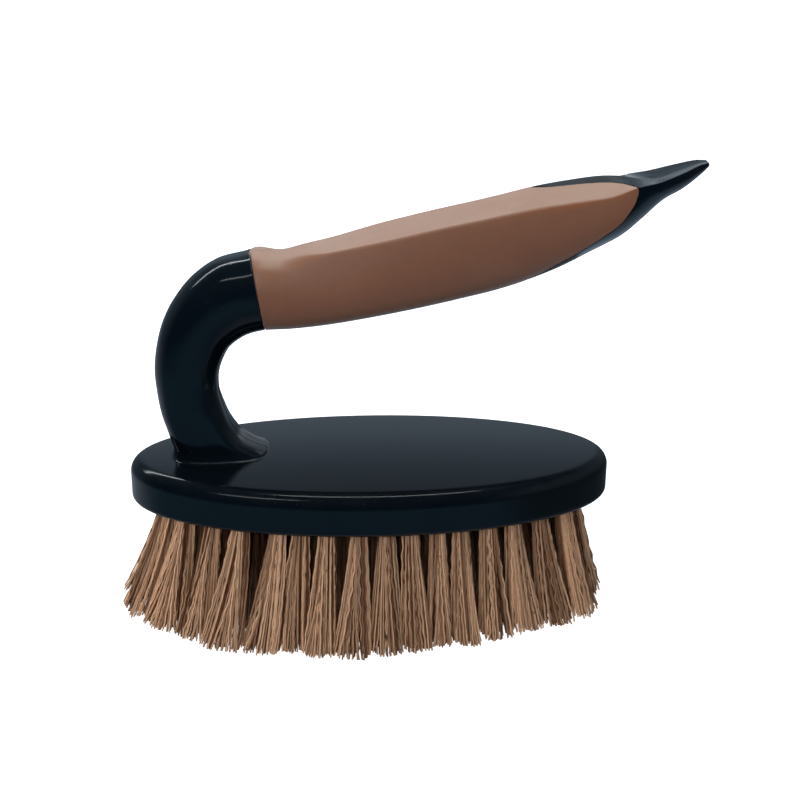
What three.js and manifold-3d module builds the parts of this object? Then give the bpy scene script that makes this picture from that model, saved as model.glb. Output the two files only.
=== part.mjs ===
// Scrub brush: oval block, gooseneck handle with an overmoulded grip, and
// splayed bristle tufts set in blind holes. Millimetres, +Z up. The origin is
// the centre of the bristle face; +X runs along the block towards the tail.
import * as THREE from 'three';
import { mergeVertices } from 'three/addons/utils/BufferGeometryUtils.js';
import Module from 'manifold-3d';

// ---- driving dimensions (mm) ----
const BLOCK_A = 72.5;            // block half length
const BLOCK_B = 31.7;            // block half width
const BLOCK_Z0 = 35.0;           // underside of the block = free bristle length
const BLOCK_RIM = 13.3;          // thickness at the rim
const BLOCK_CROWN = 2.4;         // rise of the top at the middle
const TOP_RADIUS = 4.0;          // rounding of the upper edge
const LOW_RADIUS = 1.8;          // rounding of the lower edge
const GAP = 0.3;                 // clearance between neighbouring pieces

const HOLE_R = 2.75;             // tuft hole radius
const HOLE_DEPTH = 8.0;
const TUFT_R = 2.4;              // tuft radius in the hole
const TUFT_SIDES = 8;

const OUTER_ROOT = [61.8, 25.5]; // half axes of the outer ring at the block
const OUTER_TIP_R = 5.3;         // half depth of a tip, across the ring
// Outer ring, near side, from the neck end: angle of the root in degrees, then
// the middle of the tip. The far side mirrors it, and one tuft is at the tail end.
const OUTER_SIDE = [
  [9.0, -71.8, -6.0], [26.6, -63.2, -16.0], [40.3, -54.4, -22.0], [51.0, -45.3, -28.9],
  [63.0, -33.2, -31.8], [69.9, -24.9, -30.6], [77.4, -16.2, -33.8], [85.9, -6.8, -35.0],
  [93.4, 3.0, -33.9], [99.9, 11.8, -32.5], [107.4, 19.4, -29.3], [114.6, 27.7, -29.5],
  [123.2, 35.7, -27.1], [132.6, 46.4, -21.9], [143.6, 55.4, -19.2], [159.0, 63.9, -14.2],
];
const OUTER_END_TIP = 68.2;

const INNER_COUNT = 26;
const INNER_ROOT = [52.0, 15.5];
const INNER_TIP = [55.5, 19.5];
const INNER_TIP_R = 4.2;

const CENTRE_PITCH = 10.0;       // centre row, one tuft on the origin
const CENTRE_SIDE = 4;           // tufts each side of it
const CENTRE_TIP_R = 4.7;
const PAIR_LEAN = 0.85;          // how far two mingled tips lean together

const SKIN = 2.4;                // thickness of the grip sleeve
const TENON = [9.0, 6.0];        // half axes of the tenon under the foot
const TENON_Z = 45.6;            // lower end of the tenon
const TENON_X = -45.4;

// Handle stations from the foot to the tip of the tail. Each has a point on
// the outer (then upper) edge, a point on the inner (then lower) edge, the half
// width, the half width and drop of the upper creases, and how far the section
// has turned from round (0) to creased (1).
const STATIONS = [
  // ox,    oz,     ix,     iz,    w,    wc,  drop, crease
  [-59.4,  50.60, -31.40,  50.60,  8.8,  9.0,  3.00, 0],
  [-59.2,  52.00, -34.70,  52.20,  8.8,  9.0,  3.00, 0],
  [-59.9,  54.50, -38.50,  54.80,  9.1,  9.0,  3.00, 0],
  [-61.0,  58.50, -41.50,  59.00,  9.4,  9.0,  3.00, 0],
  [-62.4,  63.50, -43.40,  63.80,  9.6,  9.0,  3.00, 0],
  [-63.3,  69.50, -44.80,  68.80,  9.6,  9.0,  3.00, 0],
  [-63.7,  76.00, -45.10,  73.50,  9.6,  9.0,  3.00, 0],
  [-62.9,  82.90, -44.60,  76.90,  9.7,  9.0,  3.00, 0],
  [-61.0,  90.20, -43.30,  80.40,  9.9,  9.0,  3.00, 0],
  [-57.6,  97.20, -41.40,  83.60, 10.1,  9.0,  3.00, 0],
  [-52.1, 104.20, -38.50,  86.10, 10.4,  9.0,  3.00, 0],
  [-44.6, 109.50, -35.40,  87.80, 10.8,  9.0,  3.00, 0],
  [-36.2, 111.70, -31.40,  88.90, 11.4,  8.8,  2.60, 0],
  [-32.3, 112.90, -28.62,  89.09, 11.7,  8.6,  2.20, 0.25],
  [-25.8, 112.35, -22.64,  89.35, 11.7,  7.5,  2.30, 0.6],
  [-18.6, 114.30, -14.77,  90.08, 11.8,  7.3,  2.30, 0.92],
  [-10.0, 116.40,  -5.59,  91.48, 12.2,  8.0,  2.45, 1],
  [  3.0, 120.15,   8.50,  94.08, 12.5,  9.6,  3.05, 1],
  [ 18.0, 123.80,  23.89,  97.43, 12.6, 10.1,  3.15, 1],
  [ 33.0, 127.10,  39.18, 101.34, 12.6, 10.4,  3.20, 1],
  [ 46.5, 130.45,  52.67, 106.46, 12.3, 10.5,  3.80, 1],
  [ 57.0, 132.30,  62.95, 111.82, 11.8, 10.4,  4.10, 1],
  [ 66.0, 133.35,  71.35, 116.38, 10.7,  9.6,  4.05, 1],
  [ 74.5, 133.00,  77.39, 121.36,  8.6,  8.0,  1.20, 1],
  [ 81.0, 132.65,  82.85, 126.63,  7.6,  7.4, -0.40, 1],
  [ 87.6, 134.80,  88.63, 129.79,  5.8,  5.6, -0.30, 1],
  [ 92.8, 136.60,  93.55, 133.41,  3.6,  3.4, -0.20, 1],
  [ 95.7, 137.15,  95.98, 135.63,  2.0,  1.9,  0.00, 1],
];
const JOINT = 12.25;             // station where the neck meets the grip
// End of the grip, as stations, from the ridge over the crease to the keel
const TOP_END = [[0, 19.86], [0.12, 20.12], [0.22, 20.41], [0.26, 20.96], [0.3, 21.51],
  [0.36, 22.14], [0.52, 22.56], [0.76, 22.82], [1, 22.96]];
const SIDE_END = [[0, 22.96], [0.06, 22.99], [0.235, 22.76], [0.33, 22.45], [0.435, 22.02], [0.5, 21.51],
  [0.58, 21.02], [0.62, 20.55], [0.645, 20.12], [0.69, 19.81], [0.77, 19.5], [0.88, 19.3], [1, 19.22]];

const TOP_SEGS = 4;              // section points, ridge to crease
const SIDE_SEGS = 9;             // and crease to keel
const HALF = TOP_SEGS + SIDE_SEGS;
const AROUND = 2 * HALF;

// ---- helpers ----
const wasm = await Module();
wasm.setup();

// One closed surface: shared vertices merged, flat triangles dropped, facing out
function closed(geometry) {
  let g = geometry.clone();
  g.deleteAttribute('normal');
  g.deleteAttribute('uv');
  g.clearGroups();
  g = mergeVertices(g, 1e-4);
  const p = g.attributes.position;
  const index = g.index.array;
  const keep = [];
  let volume = 0;
  const a = new THREE.Vector3(), b = new THREE.Vector3(), c = new THREE.Vector3();
  for (let i = 0; i < index.length; i += 3) {
    const [i0, i1, i2] = [index[i], index[i + 1], index[i + 2]];
    if (i0 === i1 || i1 === i2 || i2 === i0) continue;
    keep.push(i0, i1, i2);
    a.fromBufferAttribute(p, i0); b.fromBufferAttribute(p, i1); c.fromBufferAttribute(p, i2);
    volume += a.dot(b.cross(c));
  }
  if (volume < 0) for (let i = 0; i < keep.length; i += 3) [keep[i + 1], keep[i + 2]] = [keep[i + 2], keep[i + 1]];
  g.setIndex(keep);
  return g;
}

function toManifold(geometry) {
  const g = closed(geometry);
  return new wasm.Manifold(new wasm.Mesh({
    numProp: 3,
    vertProperties: Float32Array.from(g.attributes.position.array),
    triVerts: Uint32Array.from(g.index.array),
  }));
}

function fromManifold(manifold) {
  const mesh = manifold.getMesh();
  const g = new THREE.BufferGeometry();
  g.setAttribute('position', new THREE.BufferAttribute(Float32Array.from(mesh.vertProperties), 3));
  g.setIndex(Array.from(mesh.triVerts));
  return g;
}

const lerp = THREE.MathUtils.lerp;

function table(rows, x) {
  for (let i = 1; i < rows.length; i++) {
    if (x <= rows[i][0]) {
      return lerp(rows[i - 1][1], rows[i][1], (x - rows[i - 1][0]) / (rows[i][0] - rows[i - 1][0]));
    }
  }
  return rows[rows.length - 1][1];
}

// A cylinder whose rows of vertices are moved onto rings: ring(row, k) gives the
// point k of a row, and the two caps close on the mean of the end rows.
function loft(rows, around, ring) {
  const g = new THREE.CylinderGeometry(1, 1, 1, around, rows - 1, false);
  const p = g.attributes.position;
  const v = new THREE.Vector3();
  const middle = (row) => {
    const m = new THREE.Vector3();
    for (let k = 0; k < around; k++) m.add(ring(row, k));
    return m.divideScalar(around);
  };
  for (let i = 0; i < p.count; i++) {
    v.fromBufferAttribute(p, i);
    const row = Math.round((0.5 - v.y) * (rows - 1));
    if (Math.hypot(v.x, v.z) < 0.5) v.copy(middle(row));
    else {
      const k = Math.round((Math.atan2(v.x, v.z) / (2 * Math.PI)) * around + around) % around;
      v.copy(ring(row, k));
    }
    p.setXYZ(i, v.x, v.y, v.z);
  }
  return g;
}

// ---- block ----
function blockTop(x, y) {
  const r2 = (x / (BLOCK_A - TOP_RADIUS)) ** 2 + (y / (BLOCK_B - TOP_RADIUS)) ** 2;
  return BLOCK_Z0 + BLOCK_RIM + BLOCK_CROWN * Math.max(0, 1 - r2);
}

function blockGeometry() {
  const zTop = BLOCK_Z0 + BLOCK_RIM;
  const profile = [new THREE.Vector2(0, BLOCK_Z0)];
  for (const t of [0, 0.5, 1]) {
    const a = (t * Math.PI) / 2;
    profile.push(new THREE.Vector2(BLOCK_A - LOW_RADIUS * (1 - Math.sin(a)), BLOCK_Z0 + LOW_RADIUS * (1 - Math.cos(a))));
  }
  for (const t of [0, 0.34, 0.67, 1]) {
    const a = (t * Math.PI) / 2;
    profile.push(new THREE.Vector2(BLOCK_A - TOP_RADIUS * (1 - Math.cos(a)), zTop - TOP_RADIUS * (1 - Math.sin(a))));
  }
  for (const s of [0.8, 0.55, 0.28, 0]) {
    profile.push(new THREE.Vector2(s * (BLOCK_A - TOP_RADIUS), zTop + BLOCK_CROWN * (1 - s * s)));
  }
  const g = new THREE.LatheGeometry(profile, 64);
  const p = g.attributes.position;
  for (let i = 0; i < p.count; i++) {
    const x = p.getX(i), z = p.getY(i), y = p.getZ(i);
    const r = Math.hypot(x, y);
    const inset = BLOCK_A - r;
    const ry = inset <= TOP_RADIUS ? BLOCK_B - inset : (r * (BLOCK_B - TOP_RADIUS)) / (BLOCK_A - TOP_RADIUS);
    p.setXYZ(i, x, r > 1e-6 ? (y / r) * ry : 0, z);
  }
  return g;
}

// ---- tufts ----
// Points at equal arc steps round an ellipse, as angles
function ringAngles(a, b, count, start) {
  const n = 4000, s = [0];
  for (let i = 1; i <= n; i++) {
    const t = ((i - 0.5) / n) * 2 * Math.PI;
    s.push(s[i - 1] + Math.hypot(a * Math.sin(t), b * Math.cos(t)));
  }
  const out = [];
  for (let j = 0; j < count; j++) {
    const want = (((j + start) / count) % 1) * s[n];
    const i = s.findIndex((v) => v >= want);
    out.push((i / n) * 2 * Math.PI);
  }
  return out;
}

// A tuft runs straight from the bottom of its hole to a flat tip at z = 0
function axisAt(t, z) {
  const f = (BLOCK_Z0 - z) / BLOCK_Z0;
  return [lerp(t.root[0], t.tip[0], f), lerp(t.root[1], t.tip[1], f)];
}

function tuftGeometry(t) {
  const levels = [BLOCK_Z0 + HOLE_DEPTH - GAP, BLOCK_Z0, 0];
  return loft(levels.length, TUFT_SIDES, (row, k) => {
    const a = ((k + 0.5) / TUFT_SIDES) * 2 * Math.PI;
    const z = levels[row];
    const [cx, cy] = axisAt(t, z);
    const along = row === 2 ? t.along[Math.cos(a) < 0 ? 0 : 1] : TUFT_R;
    const across = row === 2 ? t.across : TUFT_R;
    const u = along * Math.cos(a), w = across * Math.sin(a);
    return new THREE.Vector3(cx + u * t.dir[0] - w * t.dir[1], cy + u * t.dir[1] + w * t.dir[0], z);
  });
}

function holeGeometry(t) {
  const levels = [BLOCK_Z0 + HOLE_DEPTH, BLOCK_Z0 - 1];
  return loft(2, TUFT_SIDES, (row, k) => {
    const a = ((k + 0.5) / TUFT_SIDES) * 2 * Math.PI;
    const [cx, cy] = axisAt(t, levels[row]);
    const u = HOLE_R * Math.cos(a), w = HOLE_R * Math.sin(a);
    return new THREE.Vector3(cx + u * t.dir[0] - w * t.dir[1], cy + u * t.dir[1] + w * t.dir[0], levels[row]);
  });
}

// Sets how each tuft of a closed ring is turned, and how far its tip reaches
// towards the tufts before and after it
function ringTufts(tufts, across) {
  const count = tufts.length;
  tufts.forEach((t, i) => {
    const before = tufts[(i + count - 1) % count].tip, after = tufts[(i + 1) % count].tip;
    const d = [after[0] - before[0], after[1] - before[1]];
    const l = Math.hypot(d[0], d[1]);
    t.dir = [d[0] / l, d[1] / l];
    t.along = [before, after].map((q) => 0.47 * Math.hypot(t.tip[0] - q[0], t.tip[1] - q[1]));
    t.across = across;
  });
  return tufts;
}

const outerSide = OUTER_SIDE.map(([deg, x, y]) => {
  const a = THREE.MathUtils.degToRad(deg);
  return { root: [-OUTER_ROOT[0] * Math.cos(a), -OUTER_ROOT[1] * Math.sin(a)], tip: [x, y] };
});
const farSide = outerSide.map((t) => ({ root: [t.root[0], -t.root[1]], tip: [t.tip[0], -t.tip[1]] })).reverse();
const outer = ringTufts([...outerSide, { root: [OUTER_ROOT[0], 0], tip: [OUTER_END_TIP, 0] }, ...farSide], OUTER_TIP_R);
const inner = ringTufts(ringAngles(INNER_ROOT[0], INNER_ROOT[1], INNER_COUNT, 0.5).map((t) => ({
  root: [INNER_ROOT[0] * Math.cos(t), INNER_ROOT[1] * Math.sin(t)],
  tip: [INNER_TIP[0] * Math.cos(t), INNER_TIP[1] * Math.sin(t)],
})), INNER_TIP_R);
const centre = [];
for (let i = -CENTRE_SIDE; i <= CENTRE_SIDE; i++) {
  centre.push({ root: [i * CENTRE_PITCH, 0], tip: [i * CENTRE_PITCH, 0], dir: [1, 0], along: [CENTRE_TIP_R, CENTRE_TIP_R], across: CENTRE_TIP_R });
}

// Two neighbours whose tips mingle: each tip leans towards the other
function pair(t, u) {
  const d = [u.tip[0] - t.tip[0], u.tip[1] - t.tip[1]];
  const l = Math.hypot(d[0], d[1]);
  const lean = (q, s) => ({ ...q, tip: [q.tip[0] + (s * PAIR_LEAN * d[0]) / l, q.tip[1] + (s * PAIR_LEAN * d[1]) / l] });
  return [lean(t, 1), lean(u, -1)];
}
const innerPairs = [];
for (let i = 0; i < INNER_COUNT; i += 2) innerPairs.push(pair(inner[i], inner[i + 1]));

// ---- handle ----
const upper = new THREE.CatmullRomCurve3(STATIONS.map((s) => new THREE.Vector3(s[0], 0, s[1])), false, 'catmullrom', 0.5);
const lower = new THREE.CatmullRomCurve3(STATIONS.map((s) => new THREE.Vector3(s[2], 0, s[3])), false, 'catmullrom', 0.5);
const LAST = STATIONS.length - 1;

// Half section point: index 0 is the ridge, TOP_SEGS the crease, HALF the keel
function sectionPoint(station, j, inset) {
  const s = THREE.MathUtils.clamp(station, 0, LAST);
  const i = Math.min(Math.floor(s), LAST - 1), f = s - i;
  const q = (c) => lerp(STATIONS[i][c], STATIONS[i + 1][c], f);
  const o = upper.getPoint(s / LAST), u = lower.getPoint(s / LAST);
  const mid = o.clone().add(u).multiplyScalar(0.5);
  const h = o.distanceTo(u) / 2;
  const normal = o.clone().sub(u).normalize();
  const w = q(4), wc = q(5), nc = h - q(6), crease = q(7);
  const m = 2 / 2.3, turn = 0.28 * Math.PI;
  let fy, fn, a;
  if (j <= TOP_SEGS) {
    const t = j / TOP_SEGS;
    fy = wc * t;
    fn = h - (h - nc) * Math.pow(t, 1.12);
    a = turn * t;
  } else {
    const t = (j - TOP_SEGS) / SIDE_SEGS, r = 1 - t;
    const b = [r * r * r, 3 * r * r * t, 3 * r * t * t, t * t * t];
    fy = b[0] * wc + b[1] * (wc + 1.1 * (w - wc)) + b[2] * 1.05 * w;
    fn = b[0] * nc + b[1] * (nc - 0.52 * (nc + h)) - b[2] * h - b[3] * h;
    a = turn + (Math.PI - turn) * t;
  }
  const ry = w * Math.pow(Math.max(0, Math.sin(a)), m);
  const rn = h * Math.sign(Math.cos(a)) * Math.pow(Math.abs(Math.cos(a)), m);
  const y = lerp(ry, fy, crease) * (1 - inset / w);
  const n = lerp(rn, fn, crease) * (1 - inset / h);
  return { mid, normal, y, n };
}

function handlePoint(station, k, inset = 0) {
  const j = k <= HALF ? k : AROUND - k;
  const { mid, normal, y, n } = sectionPoint(station, j, inset);
  return new THREE.Vector3(mid.x + normal.x * n, k <= HALF ? y : -y, mid.z + normal.z * n);
}

// Station where the sleeve ends, for section point k
function sleeveEnd(k) {
  const j = k <= HALF ? k : AROUND - k;
  return j <= TOP_SEGS ? table(TOP_END, j / TOP_SEGS) : table(SIDE_END, (j - TOP_SEGS) / SIDE_SEGS);
}

const SLEEVE_ROWS = 14;
const START_GAP = 0.09;          // in stations, about 0.3 mm at the neck
const END_GAP = 0.07;            // and about 0.5 mm at the tail

function coreGeometry() {
  const ground = (x, y) => blockTop(x, y) + GAP;
  const rows = [];
  const tenonPoint = (k, z) => {
    const a = (k / AROUND) * 2 * Math.PI;
    const x = TENON_X - TENON[0] * Math.cos(a), y = TENON[1] * Math.sin(a);
    return new THREE.Vector3(x, y, z === null ? ground(x, y) : z);
  };
  rows.push((k) => tenonPoint(k, TENON_Z));
  rows.push((k) => tenonPoint(k, null));
  rows.push((k) => { const p = handlePoint(0, k); p.z = ground(p.x, p.y); return p; });
  for (const s of [1, 2, 3, 4, 5, 6, 6.5, 7, 7.5, 8, 8.5, 9, 9.5, 10, 10.5, 11, 11.5, 12, JOINT]) rows.push((k) => handlePoint(s, k));
  for (let i = 0; i < SLEEVE_ROWS; i++) {
    const f = i / (SLEEVE_ROWS - 1);
    rows.push((k) => handlePoint(lerp(JOINT, sleeveEnd(k) + END_GAP, f), k, SKIN + GAP));
  }
  rows.push((k) => handlePoint(sleeveEnd(k) + END_GAP, k));
  for (const f of [0.3, 0.55, 0.75, 0.88, 1]) rows.push((k) => handlePoint(lerp(sleeveEnd(k) + END_GAP, LAST, f), k));
  return loft(rows.length, AROUND, (row, k) => rows[row](k));
}

// The sleeve is a ring surface: out along the skin, back along the bore
function sleeveGeometry() {
  const loop = 2 * SLEEVE_ROWS;
  const g = new THREE.TorusGeometry(2, 1, loop, AROUND);
  const p = g.attributes.position;
  for (let i = 0; i < p.count; i++) {
    const row = Math.floor(i / (AROUND + 1)) % loop;
    const k = (i % (AROUND + 1)) % AROUND;
    const out = row < SLEEVE_ROWS;
    const f = (out ? row : loop - 1 - row) / (SLEEVE_ROWS - 1);
    const v = handlePoint(lerp(JOINT + START_GAP, sleeveEnd(k), f), k, out ? 0 : SKIN);
    p.setXYZ(i, v.x, v.y, v.z);
  }
  return g;
}

// ---- assembly ----
const blackPlastic = () => new THREE.MeshStandardMaterial({ color: 0x18222b, roughness: 0.28, metalness: 0 });
const tanRubber = () => new THREE.MeshStandardMaterial({ color: 0x9a6a4d, roughness: 0.72, metalness: 0 });
const filament = () => new THREE.MeshStandardMaterial({ color: 0xb58f68, roughness: 0.65, metalness: 0 });

const brush = new THREE.Group();
function place(name, geometry, material, parent = brush) {
  const mesh = new THREE.Mesh(closed(geometry), material);
  mesh.geometry.computeVertexNormals();
  mesh.name = name;
  parent.add(mesh);
}

const everyTuft = [...outer, ...innerPairs.flat(), ...centre];
let block = toManifold(blockGeometry());
for (const t of everyTuft) block = block.subtract(toManifold(holeGeometry(t)));
const socket = loft(2, 32, (row, k) => {
  const a = (k / 32) * 2 * Math.PI;
  return new THREE.Vector3(TENON_X - (TENON[0] + GAP) * Math.cos(a), (TENON[1] + GAP) * Math.sin(a),
    row === 0 ? BLOCK_Z0 + BLOCK_RIM + 6 : TENON_Z - GAP);
});
block = block.subtract(toManifold(socket));
place('brush_block', fromManifold(block), blackPlastic());
place('handle_core', coreGeometry(), blackPlastic());
place('grip_sleeve', sleeveGeometry(), tanRubber());

const bristles = new THREE.Group();
brush.add(bristles);
const two = (n) => String(n).padStart(2, '0');
outer.forEach((t, i) => place(`outer_tuft_${two(i + 1)}`, tuftGeometry(t), filament(), bristles));
const joined = ([t, u]) => fromManifold(toManifold(tuftGeometry(t)).add(toManifold(tuftGeometry(u))));
innerPairs.forEach((p, i) => place(`inner_tuft_pair_${two(i + 1)}`, joined(p), filament(), bristles));
centre.forEach((t, i) => place(`centre_tuft_${i + 1}`, tuftGeometry(t), filament(), bristles));

export default brush;
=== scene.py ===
"""Scrub brush: the visible pieces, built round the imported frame.

The frame is in metres with +Z up. Shapes below are worked out in millimetres
and written to the meshes in metres.
"""
import math

import bpy
import numpy as np
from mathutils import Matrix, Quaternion, Vector
from mathutils.geometry import delaunay_2d_cdt


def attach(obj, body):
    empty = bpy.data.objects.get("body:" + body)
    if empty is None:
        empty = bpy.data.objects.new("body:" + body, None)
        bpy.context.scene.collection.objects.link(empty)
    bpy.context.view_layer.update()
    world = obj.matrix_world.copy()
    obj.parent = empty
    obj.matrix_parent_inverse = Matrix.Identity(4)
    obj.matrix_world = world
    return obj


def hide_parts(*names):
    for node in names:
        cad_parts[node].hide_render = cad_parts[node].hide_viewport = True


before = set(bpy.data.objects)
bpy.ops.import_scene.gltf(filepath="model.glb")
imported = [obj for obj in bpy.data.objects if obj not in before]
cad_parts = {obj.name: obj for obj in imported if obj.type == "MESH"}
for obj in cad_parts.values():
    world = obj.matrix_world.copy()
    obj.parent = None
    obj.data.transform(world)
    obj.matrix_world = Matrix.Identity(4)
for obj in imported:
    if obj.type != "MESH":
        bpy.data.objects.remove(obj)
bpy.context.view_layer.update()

MM = 0.001
BODY = "root"

# ---------------------------------------------------------------- dimensions
BLOCK_A, BLOCK_B = 72.5, 31.7      # half axes of the block
BLOCK_Z0 = 35.0                    # underside
BLOCK_TOP = 48.3                   # top at the rim
CROWN = 2.4
EDGE_TOP, EDGE_LOW = 4.0, 1.8      # edge rounding
HOLE_R, HOLE_CHAMFER, HOLE_TOP = 2.6, 0.3, 41.5

OUTER_ROOT = (61.8, 25.5)
OUTER_SIDE = [  # near side: angle of the root from the neck end, tip
    (9.0, -71.8, -6.0), (26.6, -63.2, -16.0), (40.3, -54.4, -22.0), (51.0, -45.3, -28.9),
    (63.0, -33.2, -31.8), (69.9, -24.9, -30.6), (77.4, -16.2, -33.8), (85.9, -6.8, -35.0),
    (93.4, 3.0, -33.9), (99.9, 11.8, -32.5), (107.4, 19.4, -29.3), (114.6, 27.7, -29.5),
    (123.2, 35.7, -27.1), (132.6, 46.4, -21.9), (143.6, 55.4, -19.2), (159.0, 63.9, -14.2),
]
OUTER_END_TIP = 68.2
INNER_COUNT, INNER_ROOT, INNER_TIP = 26, (52.0, 15.5), (57.5, 22.5)
CENTRE_PITCH = 10.0

SKIN = 2.4                         # grip thickness
JOINT = 12                         # station where the neck meets the grip
# outer edge x, z, inner edge x, z, half width, crease half width, drop, crease
STATIONS = np.array([
    [-59.4, 50.6, -31.4, 50.6, 8.8, 9.0, 3.0, 0], [-59.2, 52.0, -34.7, 52.2, 8.8, 9.0, 3.0, 0],
    [-59.9, 54.5, -38.5, 54.8, 9.1, 9.0, 3.0, 0], [-61.0, 58.5, -41.5, 59.0, 9.4, 9.0, 3.0, 0],
    [-62.4, 63.5, -43.4, 63.8, 9.6, 9.0, 3.0, 0], [-63.3, 69.5, -44.8, 68.8, 9.6, 9.0, 3.0, 0],
    [-63.7, 76.0, -45.1, 73.5, 9.6, 9.0, 3.0, 0], [-62.9, 82.9, -44.6, 76.9, 9.7, 9.0, 3.0, 0],
    [-61.0, 90.2, -43.3, 80.4, 9.9, 9.0, 3.0, 0], [-57.6, 97.2, -41.4, 83.6, 10.1, 9.0, 3.0, 0],
    [-52.1, 104.2, -38.5, 86.1, 10.4, 9.0, 3.0, 0], [-44.6, 109.5, -35.4, 87.8, 10.8, 9.0, 3.0, 0],
    [-36.2, 111.7, -31.4, 88.9, 11.4, 8.8, 2.6, 0], [-32.3, 112.9, -28.62, 89.09, 11.7, 8.6, 2.2, 0.25],
    [-25.8, 112.35, -22.64, 89.35, 11.7, 7.5, 2.3, 0.6], [-18.6, 114.3, -14.77, 90.08, 11.8, 7.3, 2.3, 0.92],
    [-10.0, 116.4, -5.59, 91.48, 12.2, 8.0, 2.45, 1], [3.0, 120.15, 8.5, 94.08, 12.5, 9.6, 3.05, 1],
    [18.0, 123.8, 23.89, 97.43, 12.6, 10.1, 3.15, 1], [33.0, 127.1, 39.18, 101.34, 12.6, 10.4, 3.2, 1],
    [46.5, 130.45, 52.67, 106.46, 12.3, 10.5, 3.8, 1], [57.0, 132.3, 62.95, 111.82, 11.8, 10.4, 4.1, 1],
    [66.0, 133.35, 71.35, 116.38, 10.7, 9.6, 4.05, 1], [74.5, 133.0, 77.39, 121.36, 8.6, 8.0, 1.2, 1],
    [81.0, 132.65, 82.85, 126.63, 7.6, 7.4, -0.4, 1], [87.6, 134.8, 88.63, 129.79, 5.8, 5.6, -0.3, 1],
    [92.8, 136.6, 93.55, 133.41, 3.6, 3.4, -0.2, 1], [95.7, 137.15, 95.98, 135.63, 2.0, 1.9, 0.0, 1],
])
LAST = len(STATIONS) - 1
# end of the grip, as stations, from the ridge (0) over the crease (1) to the keel (2)
GRIP_END = np.array([
    [0, 19.86], [0.06, 19.98], [0.12, 20.12], [0.22, 20.41], [0.26, 20.96], [0.30, 21.51], [0.36, 22.14], [0.52, 22.56],
    [0.76, 22.82], [0.97, 22.94], [1.06, 22.99], [1.235, 22.76], [1.33, 22.45], [1.435, 22.02], [1.50, 21.51], [1.58, 21.02],
    [1.62, 20.55], [1.645, 20.12], [1.69, 19.81], [1.77, 19.5], [1.88, 19.3], [2, 19.22],
])


# ------------------------------------------------------------------- helpers
def smoothstep(a, b, x):
    t = np.clip((np.asarray(x, float) - a) / (b - a), 0, 1)
    return t * t * (3 - 2 * t)


def mesh_object(name, verts, blocks, material, sharp=None):
    """A mesh from points in millimetres and blocks of faces with the same number of corners."""
    verts = np.asarray(verts, float)
    mesh = bpy.data.meshes.new(name)
    mesh.vertices.add(len(verts))
    mesh.vertices.foreach_set("co", (verts * MM).astype(np.float32).ravel())
    loops = np.concatenate([np.asarray(b).ravel() for b in blocks]).astype(np.int32)
    totals = np.concatenate([np.full(len(b), np.asarray(b).shape[1]) for b in blocks])
    starts = np.concatenate([[0], np.cumsum(totals)[:-1]]).astype(np.int32)
    mesh.loops.add(len(loops))
    mesh.loops.foreach_set("vertex_index", loops)
    mesh.polygons.add(len(totals))
    mesh.polygons.foreach_set("loop_start", starts)
    mesh.update(calc_edges=True)
    mesh.shade_smooth()
    if sharp is not None:
        mesh.set_sharp_from_angle(angle=math.radians(sharp))
    mesh.materials.append(material)
    obj = bpy.data.objects.new(name, mesh)
    bpy.context.scene.collection.objects.link(obj)
    return obj


def point_value(obj, name, values):
    attribute = obj.data.attributes.new(name, "FLOAT", "POINT")
    attribute.data.foreach_set("value", np.asarray(values, np.float32))


def grid_faces(rows, cols, first=0, wrap_rows=False):
    """Quads of a grid of points, closed round the columns."""
    r = np.arange(rows if wrap_rows else rows - 1)[:, None]
    c = np.arange(cols)[None, :]
    r1, c1 = (r + 1) % rows, (c + 1) % cols
    return first + np.stack([r * cols + c, r * cols + c1, r1 * cols + c1, r1 * cols + c], -1).reshape(-1, 4)


def fan(ring, centre, flip=False):
    nxt = np.roll(ring, -1)
    cols = [ring, nxt, np.full(len(ring), centre)]
    return np.stack(cols[::-1] if flip else cols, -1)


def finish_piece(obj, node):
    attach(obj, BODY)
    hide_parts(node)


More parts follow.
